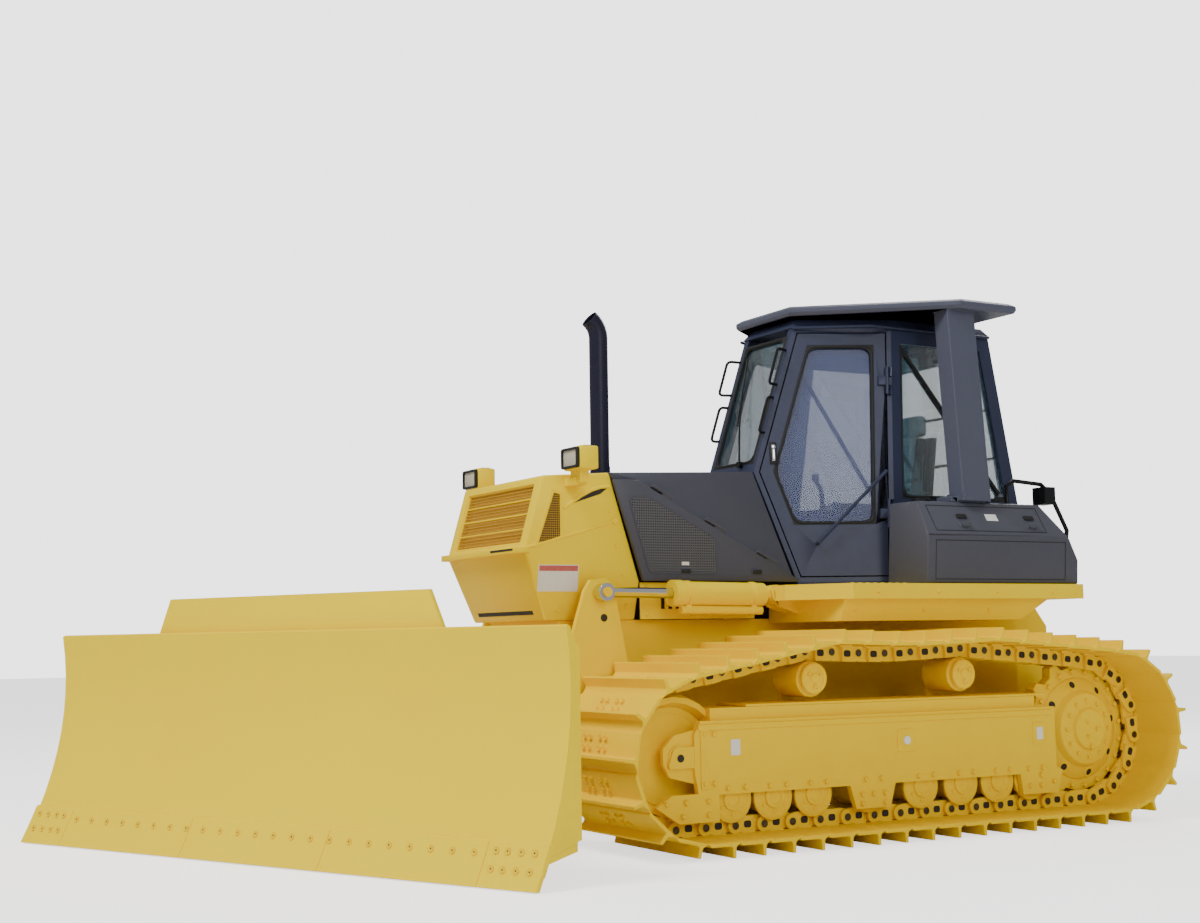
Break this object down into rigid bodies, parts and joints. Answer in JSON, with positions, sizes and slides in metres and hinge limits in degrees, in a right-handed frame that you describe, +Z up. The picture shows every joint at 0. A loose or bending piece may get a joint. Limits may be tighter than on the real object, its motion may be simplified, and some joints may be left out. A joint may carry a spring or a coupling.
{
  "type": "bulldozer",
  "caption": "Crawler bulldozer with an angled power blade, a six-sided glass cab under a roll-over canopy and wide flat track shoes.",
  "frame": {"origin": "on the ground, at the bottom centre of the whole box, blade and tow plate included", "axes": "+Z up; the machine heads along -Y, and its left side is +X"},
  "size_m": [3.6576, 6.4252, 3.215],
  "materials": {
    "yellow_paint": "satin machine enamel, worn and dusty low down",
    "track_paint": "yellow paint over steel shoes, with dirt",
    "dark_grey_paint": "satin dark grey enamel",
    "navy_paint": "satin dark blue-grey enamel",
    "black_paint": "satin black paint",
    "grille_mesh": "woven wire mesh, dusty",
    "cast_iron": "painted casting",
    "chrome_rod": "hard chrome, polished",
    "black_plastic": "moulded, fine grain",
    "seat_fabric": "woven seat cloth",
    "tinted_glass": "tinted safety glass"
  },
  "bodies": {
    "base": {"cab_floor": "navy_paint", "cab_frame": "navy_paint", "cab_roof": "navy_paint", "dashboard": "black_plastic", "deck_left": "yellow_paint", "deck_right": "yellow_paint", "engine_block": "cast_iron", "exhaust_stack": "navy_paint", "final_drive_left": "yellow_paint", "final_drive_right": "yellow_paint", "front_lamp_left": "yellow_paint", "front_lamp_right": "yellow_paint", "grille": "grille_mesh", "hood_top": "dark_grey_paint", "main_frame": "yellow_paint", "radiator": "black_paint", "radiator_guard": "yellow_paint", "rear_glass": "tinted_glass", "rear_rail_left": "black_paint", "rear_rail_right": "black_paint", "rops_canopy": "dark_grey_paint", "seat": "black_plastic", "seat_backrest": "seat_fabric", "seat_cushion": "seat_fabric", "side_glass_left": "tinted_glass", "side_glass_right": "tinted_glass", "tank_left": "dark_grey_paint", "tank_right": "dark_grey_paint", "track_frame_left": "yellow_paint", "track_frame_right": "yellow_paint", "track_left": "track_paint", "track_right": "track_paint", "windshield": "tinted_glass"},
    "c_frame": {"c_frame": "yellow_paint"},
    "blade_carrier": {"blade_carrier": "yellow_paint"},
    "blade": {"blade": "yellow_paint"},
    "tilt_barrel": {"tilt_barrel": "yellow_paint"},
    "tilt_rod": {"tilt_rod": "chrome_rod"},
    "cab_door_left": {"cab_door_left": "navy_paint", "door_glass_left": "tinted_glass"},
    "cab_door_right": {"cab_door_right": "navy_paint", "door_glass_right": "tinted_glass"},
    "engine_cover_left": {"engine_cover_left": "dark_grey_paint"},
    "engine_cover_right": {"engine_cover_right": "dark_grey_paint"},
    "lift_left_barrel": {"lift_left_barrel": "yellow_paint"},
    "lift_left_rod": {"lift_left_rod": "chrome_rod"},
    "angle_left_barrel": {"angle_left_barrel": "yellow_paint"},
    "angle_left_rod": {"angle_left_rod": "chrome_rod"},
    "lift_right_barrel": {"lift_right_barrel": "yellow_paint"},
    "lift_right_rod": {"lift_right_rod": "chrome_rod"},
    "angle_right_barrel": {"angle_right_barrel": "yellow_paint"},
    "angle_right_rod": {"angle_right_rod": "chrome_rod"}
  },
  "joints": [
    {"name": "blade_lift", "type": "hinge", "parent": "base", "child": "c_frame", "pos_m": [-0.17758, 1.06259, 0.6], "axis": [1, 0, 0], "range_deg": [-16.6, 7.8]},
    {"name": "blade_angle", "type": "hinge", "parent": "c_frame", "child": "blade_carrier", "pos_m": [-0.17758, -1.86741, 0.52], "axis": [0, 0, 1], "range_deg": [-49, 1]},
    {"name": "blade_tilt", "type": "hinge", "parent": "blade_carrier", "child": "blade", "pos_m": [-0.17758, -1.86741, 0.52], "axis": [0.4067, -0.9135, 0], "range_deg": [-6.5, 6.5]},
    {"name": "tilt_barrel_hinge", "type": "hinge", "parent": "blade_carrier", "child": "tilt_barrel", "pos_m": [-0.5267, -2.11589, 0.94], "axis": [0.4067, -0.9135, 0], "range_deg": [-3.3, 3.3]},
    {"name": "tilt_rod_slide", "type": "slide", "parent": "tilt_barrel", "child": "tilt_rod", "axis": [0.9135, 0.4067, 0], "range_m": [-0.049, 0.049]},
    {"name": "lift_left_barrel_hinge", "type": "hinge", "parent": "base", "child": "lift_left_barrel", "pos_m": [0.47742, 0.64259, 1.378], "axis": [1, 0, 0], "range_deg": [-24.4, 11.6]},
    {"name": "lift_left_rod_slide", "type": "slide", "parent": "lift_left_barrel", "child": "lift_left_rod", "axis": [0, -0.9999, 0.0122], "range_m": [-0.204, 0.097]},
    {"name": "angle_left_barrel_hinge", "type": "hinge", "parent": "c_frame", "child": "angle_left_barrel", "pos_m": [0.42242, -0.98741, 0.765], "axis": [0, 0, 1], "range_deg": [-0.24, 6.89]},
    {"name": "angle_left_rod_slide", "type": "slide", "parent": "angle_left_barrel", "child": "angle_left_rod", "axis": [-0.2616, -0.9652, 0], "range_m": [-0.0083, 0.3578]},
    {"name": "lift_right_barrel_hinge", "type": "hinge", "parent": "base", "child": "lift_right_barrel", "pos_m": [-0.83258, 0.64259, 1.378], "axis": [1, 0, 0], "range_deg": [-24.4, 11.6]},
    {"name": "lift_right_rod_slide", "type": "slide", "parent": "lift_right_barrel", "child": "lift_right_rod", "axis": [0, -0.9999, 0.0122], "range_m": [-0.204, 0.097]},
    {"name": "angle_right_barrel_hinge", "type": "hinge", "parent": "c_frame", "child": "angle_right_barrel", "pos_m": [-0.77758, -0.98741, 0.765], "axis": [0, 0, 1], "range_deg": [-0.16, 3.12]},
    {"name": "angle_right_rod_slide", "type": "slide", "parent": "angle_right_barrel", "child": "angle_right_rod", "axis": [0.175, -0.9846, 0], "range_m": [-0.3698, 0.0085]},
    {"name": "cab_door_left_hinge", "type": "hinge", "parent": "base", "child": "cab_door_left", "pos_m": [0.53734, 1.47267, 1.46471], "axis": [-0.1038, 0.1038, 0.9892], "range_deg": [0, 80]},
    {"name": "cab_door_right_hinge", "type": "hinge", "parent": "base", "child": "cab_door_right", "pos_m": [-0.8925, 1.47267, 1.46471], "axis": [-0.1038, -0.1038, -0.9892], "range_deg": [0, 80]},
    {"name": "engine_cover_left_hinge", "type": "hinge", "parent": "base", "child": "engine_cover_left", "pos_m": [0.36142, -0.2101, 2.06423], "axis": [0, -0.8897, 0.4566], "range_deg": [0, 70]},
    {"name": "engine_cover_right_hinge", "type": "hinge", "parent": "base", "child": "engine_cover_right", "pos_m": [-0.71658, -0.2101, 2.06423], "axis": [0, 0.8897, -0.4566], "range_deg": [0, 70]}
  ],
  "couplings": [
    {"joint": "tilt_barrel_hinge", "follows": "blade_tilt", "ratio": 0.4878},
    {"joint": "tilt_rod_slide", "follows": "blade_tilt", "m_per_rad": -0.4198},
    {"joint": "lift_left_barrel_hinge", "follows": "blade_lift", "ratio": 1.4567},
    {"joint": "lift_left_rod_slide", "follows": "blade_lift", "m_per_rad": 0.6984},
    {"joint": "angle_left_barrel_hinge", "follows": "blade_angle", "ratio": -0.1386},
    {"joint": "angle_left_rod_slide", "follows": "blade_angle", "m_per_rad": -0.4172},
    {"joint": "lift_right_barrel_hinge", "follows": "blade_lift", "ratio": 1.4567},
    {"joint": "lift_right_rod_slide", "follows": "blade_lift", "m_per_rad": 0.6984},
    {"joint": "angle_right_barrel_hinge", "follows": "blade_angle", "ratio": -0.0617},
    {"joint": "angle_right_rod_slide", "follows": "blade_angle", "m_per_rad": 0.4312}
  ]
}
